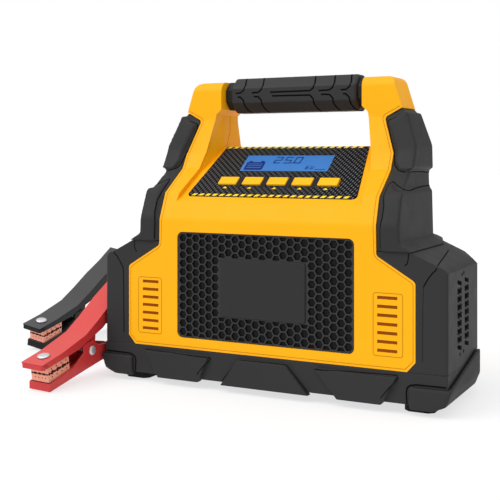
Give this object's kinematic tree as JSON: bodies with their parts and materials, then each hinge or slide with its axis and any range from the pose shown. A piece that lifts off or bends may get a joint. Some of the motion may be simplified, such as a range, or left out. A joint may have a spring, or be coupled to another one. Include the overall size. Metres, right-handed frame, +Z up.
{
  "type": "car battery charger",
  "caption": "Portable battery charger: moulded case with carrying grip, sloping control panel, honeycomb front grille, side vents, rubber bumpers and a pair of spring clamps.",
  "frame": {"origin": "on the ground under the middle of the housing", "axes": "+X to the right of the front, +Y to the back, +Z up"},
  "size_m": [0.4537, 0.2816, 0.2637],
  "materials": {
    "yellow_shell": "satin moulded plastic",
    "black_plastic": "fine matt texture",
    "bumper_rubber": "matt",
    "foot_rubber": "matt",
    "grille_plastic": "satin",
    "badge": "bare satin plate",
    "panel_plastic": "smooth overlay",
    "display_glass": "clear blue window",
    "display_body": "blue display",
    "circuit_board": "solder mask",
    "button_plastic": "smooth caps",
    "grip_rubber": "matt tread",
    "collar_plastic": "matt",
    "steel_tube": "plain tube",
    "screw_steel": "plated",
    "transformer_iron": "varnished laminations",
    "winding": "taped winding",
    "heat_sink_aluminium": "plain extrusion",
    "capacitor_sleeve": "sleeve",
    "film_capacitor": "moulded",
    "terminal_green": "moulded",
    "fan_plastic": "moulded",
    "inlet_plastic": "moulded",
    "red_paint": "satin coating",
    "black_paint": "satin coating",
    "copper": "copper plated, satin",
    "rivet_steel": "bright",
    "spring_steel": "oiled"
  },
  "bodies": {
    "root": {"front_shell": "yellow_shell", "rear_shell": "yellow_shell", "left_side_cover": "black_plastic", "right_side_cover": "black_plastic", "left_leg_pad": "black_plastic", "right_leg_pad": "black_plastic", "base_tray": "black_plastic", "left_front_corner_bumper": "bumper_rubber", "left_rear_corner_bumper": "bumper_rubber", "right_front_corner_bumper": "bumper_rubber", "right_rear_corner_bumper": "bumper_rubber", "rubber_feet": "foot_rubber", "front_grille": "grille_plastic", "badge_plate": "badge", "control_panel": "panel_plastic", "display_window": "display_glass", "display_module": "display_body", "main_board": "circuit_board", "control_board": "circuit_board", "grip_sleeve": "grip_rubber", "grip_collars": "collar_plastic", "handle_tube": "steel_tube", "housing_screws": "screw_steel", "transformer_core": "transformer_iron", "transformer_winding": "winding", "heat_sink": "heat_sink_aluminium", "capacitors": "capacitor_sleeve", "film_capacitor": "film_capacitor", "terminal_block": "terminal_green", "fan_frame": "fan_plastic", "mains_inlet": "inlet_plastic", "lead_glands": "inlet_plastic", "red_clamp_lower_handle": "red_paint", "black_clamp_lower_handle": "black_paint", "red_clamp_lower_jaw": "copper", "black_clamp_lower_jaw": "copper", "clamp_pivot_rivets": "rivet_steel", "clamp_springs": "spring_steel"},
    "red_clamp": {"red_clamp_upper_handle": "red_paint", "red_clamp_upper_jaw": "copper", "red_clamp_nose_rivet": "rivet_steel"},
    "black_clamp": {"black_clamp_upper_handle": "black_paint", "black_clamp_upper_jaw": "copper", "black_clamp_nose_rivet": "rivet_steel"},
    "fan": {"fan_rotor": "fan_plastic"},
    "button_1": {"button_1": "button_plastic"},
    "button_2": {"button_2": "button_plastic"},
    "button_3": {"button_3": "button_plastic"},
    "button_4": {"button_4": "button_plastic"},
    "button_5": {"button_5": "button_plastic"}
  },
  "joints": [
    {"name": "button_1_press", "type": "slide", "parent": "root", "child": "button_1", "axis": [0, 0.6043, -0.7968], "range_m": [0, 0.0012], "stiffness_N_per_m": 900, "springref_m": -0.0006},
    {"name": "button_2_press", "type": "slide", "parent": "root", "child": "button_2", "axis": [0, 0.6043, -0.7968], "range_m": [0, 0.0012], "stiffness_N_per_m": 900, "springref_m": -0.0006},
    {"name": "button_3_press", "type": "slide", "parent": "root", "child": "button_3", "axis": [0, 0.6043, -0.7968], "range_m": [0, 0.0012], "stiffness_N_per_m": 900, "springref_m": -0.0006},
    {"name": "button_4_press", "type": "slide", "parent": "root", "child": "button_4", "axis": [0, 0.6043, -0.7968], "range_m": [0, 0.0012], "stiffness_N_per_m": 900, "springref_m": -0.0006},
    {"name": "button_5_press", "type": "slide", "parent": "root", "child": "button_5", "axis": [0, 0.6043, -0.7968], "range_m": [0, 0.0012], "stiffness_N_per_m": 900, "springref_m": -0.0006},
    {"name": "fan_spin", "type": "hinge", "parent": "root", "child": "fan", "pos_m": [-0.143, -0.0301, 0.0724], "axis": [1, 0, 0], "continuous": true},
    {"name": "red_clamp_open", "type": "hinge", "parent": "root", "child": "red_clamp", "pos_m": [-0.16877, -0.08759, 0.02585], "axis": [-0.9991, 0.007, 0.0427], "range_deg": [0, 28], "stiffness_Nm_per_rad": 1.2, "springref_deg": -34.38},
    {"name": "black_clamp_open", "type": "hinge", "parent": "root", "child": "black_clamp", "pos_m": [-0.28177, 0.04637, 0.02715], "axis": [-0.9854, 0.004, 0.17], "range_deg": [0, 28], "stiffness_Nm_per_rad": 1.2, "springref_deg": -34.38}
  ]
}
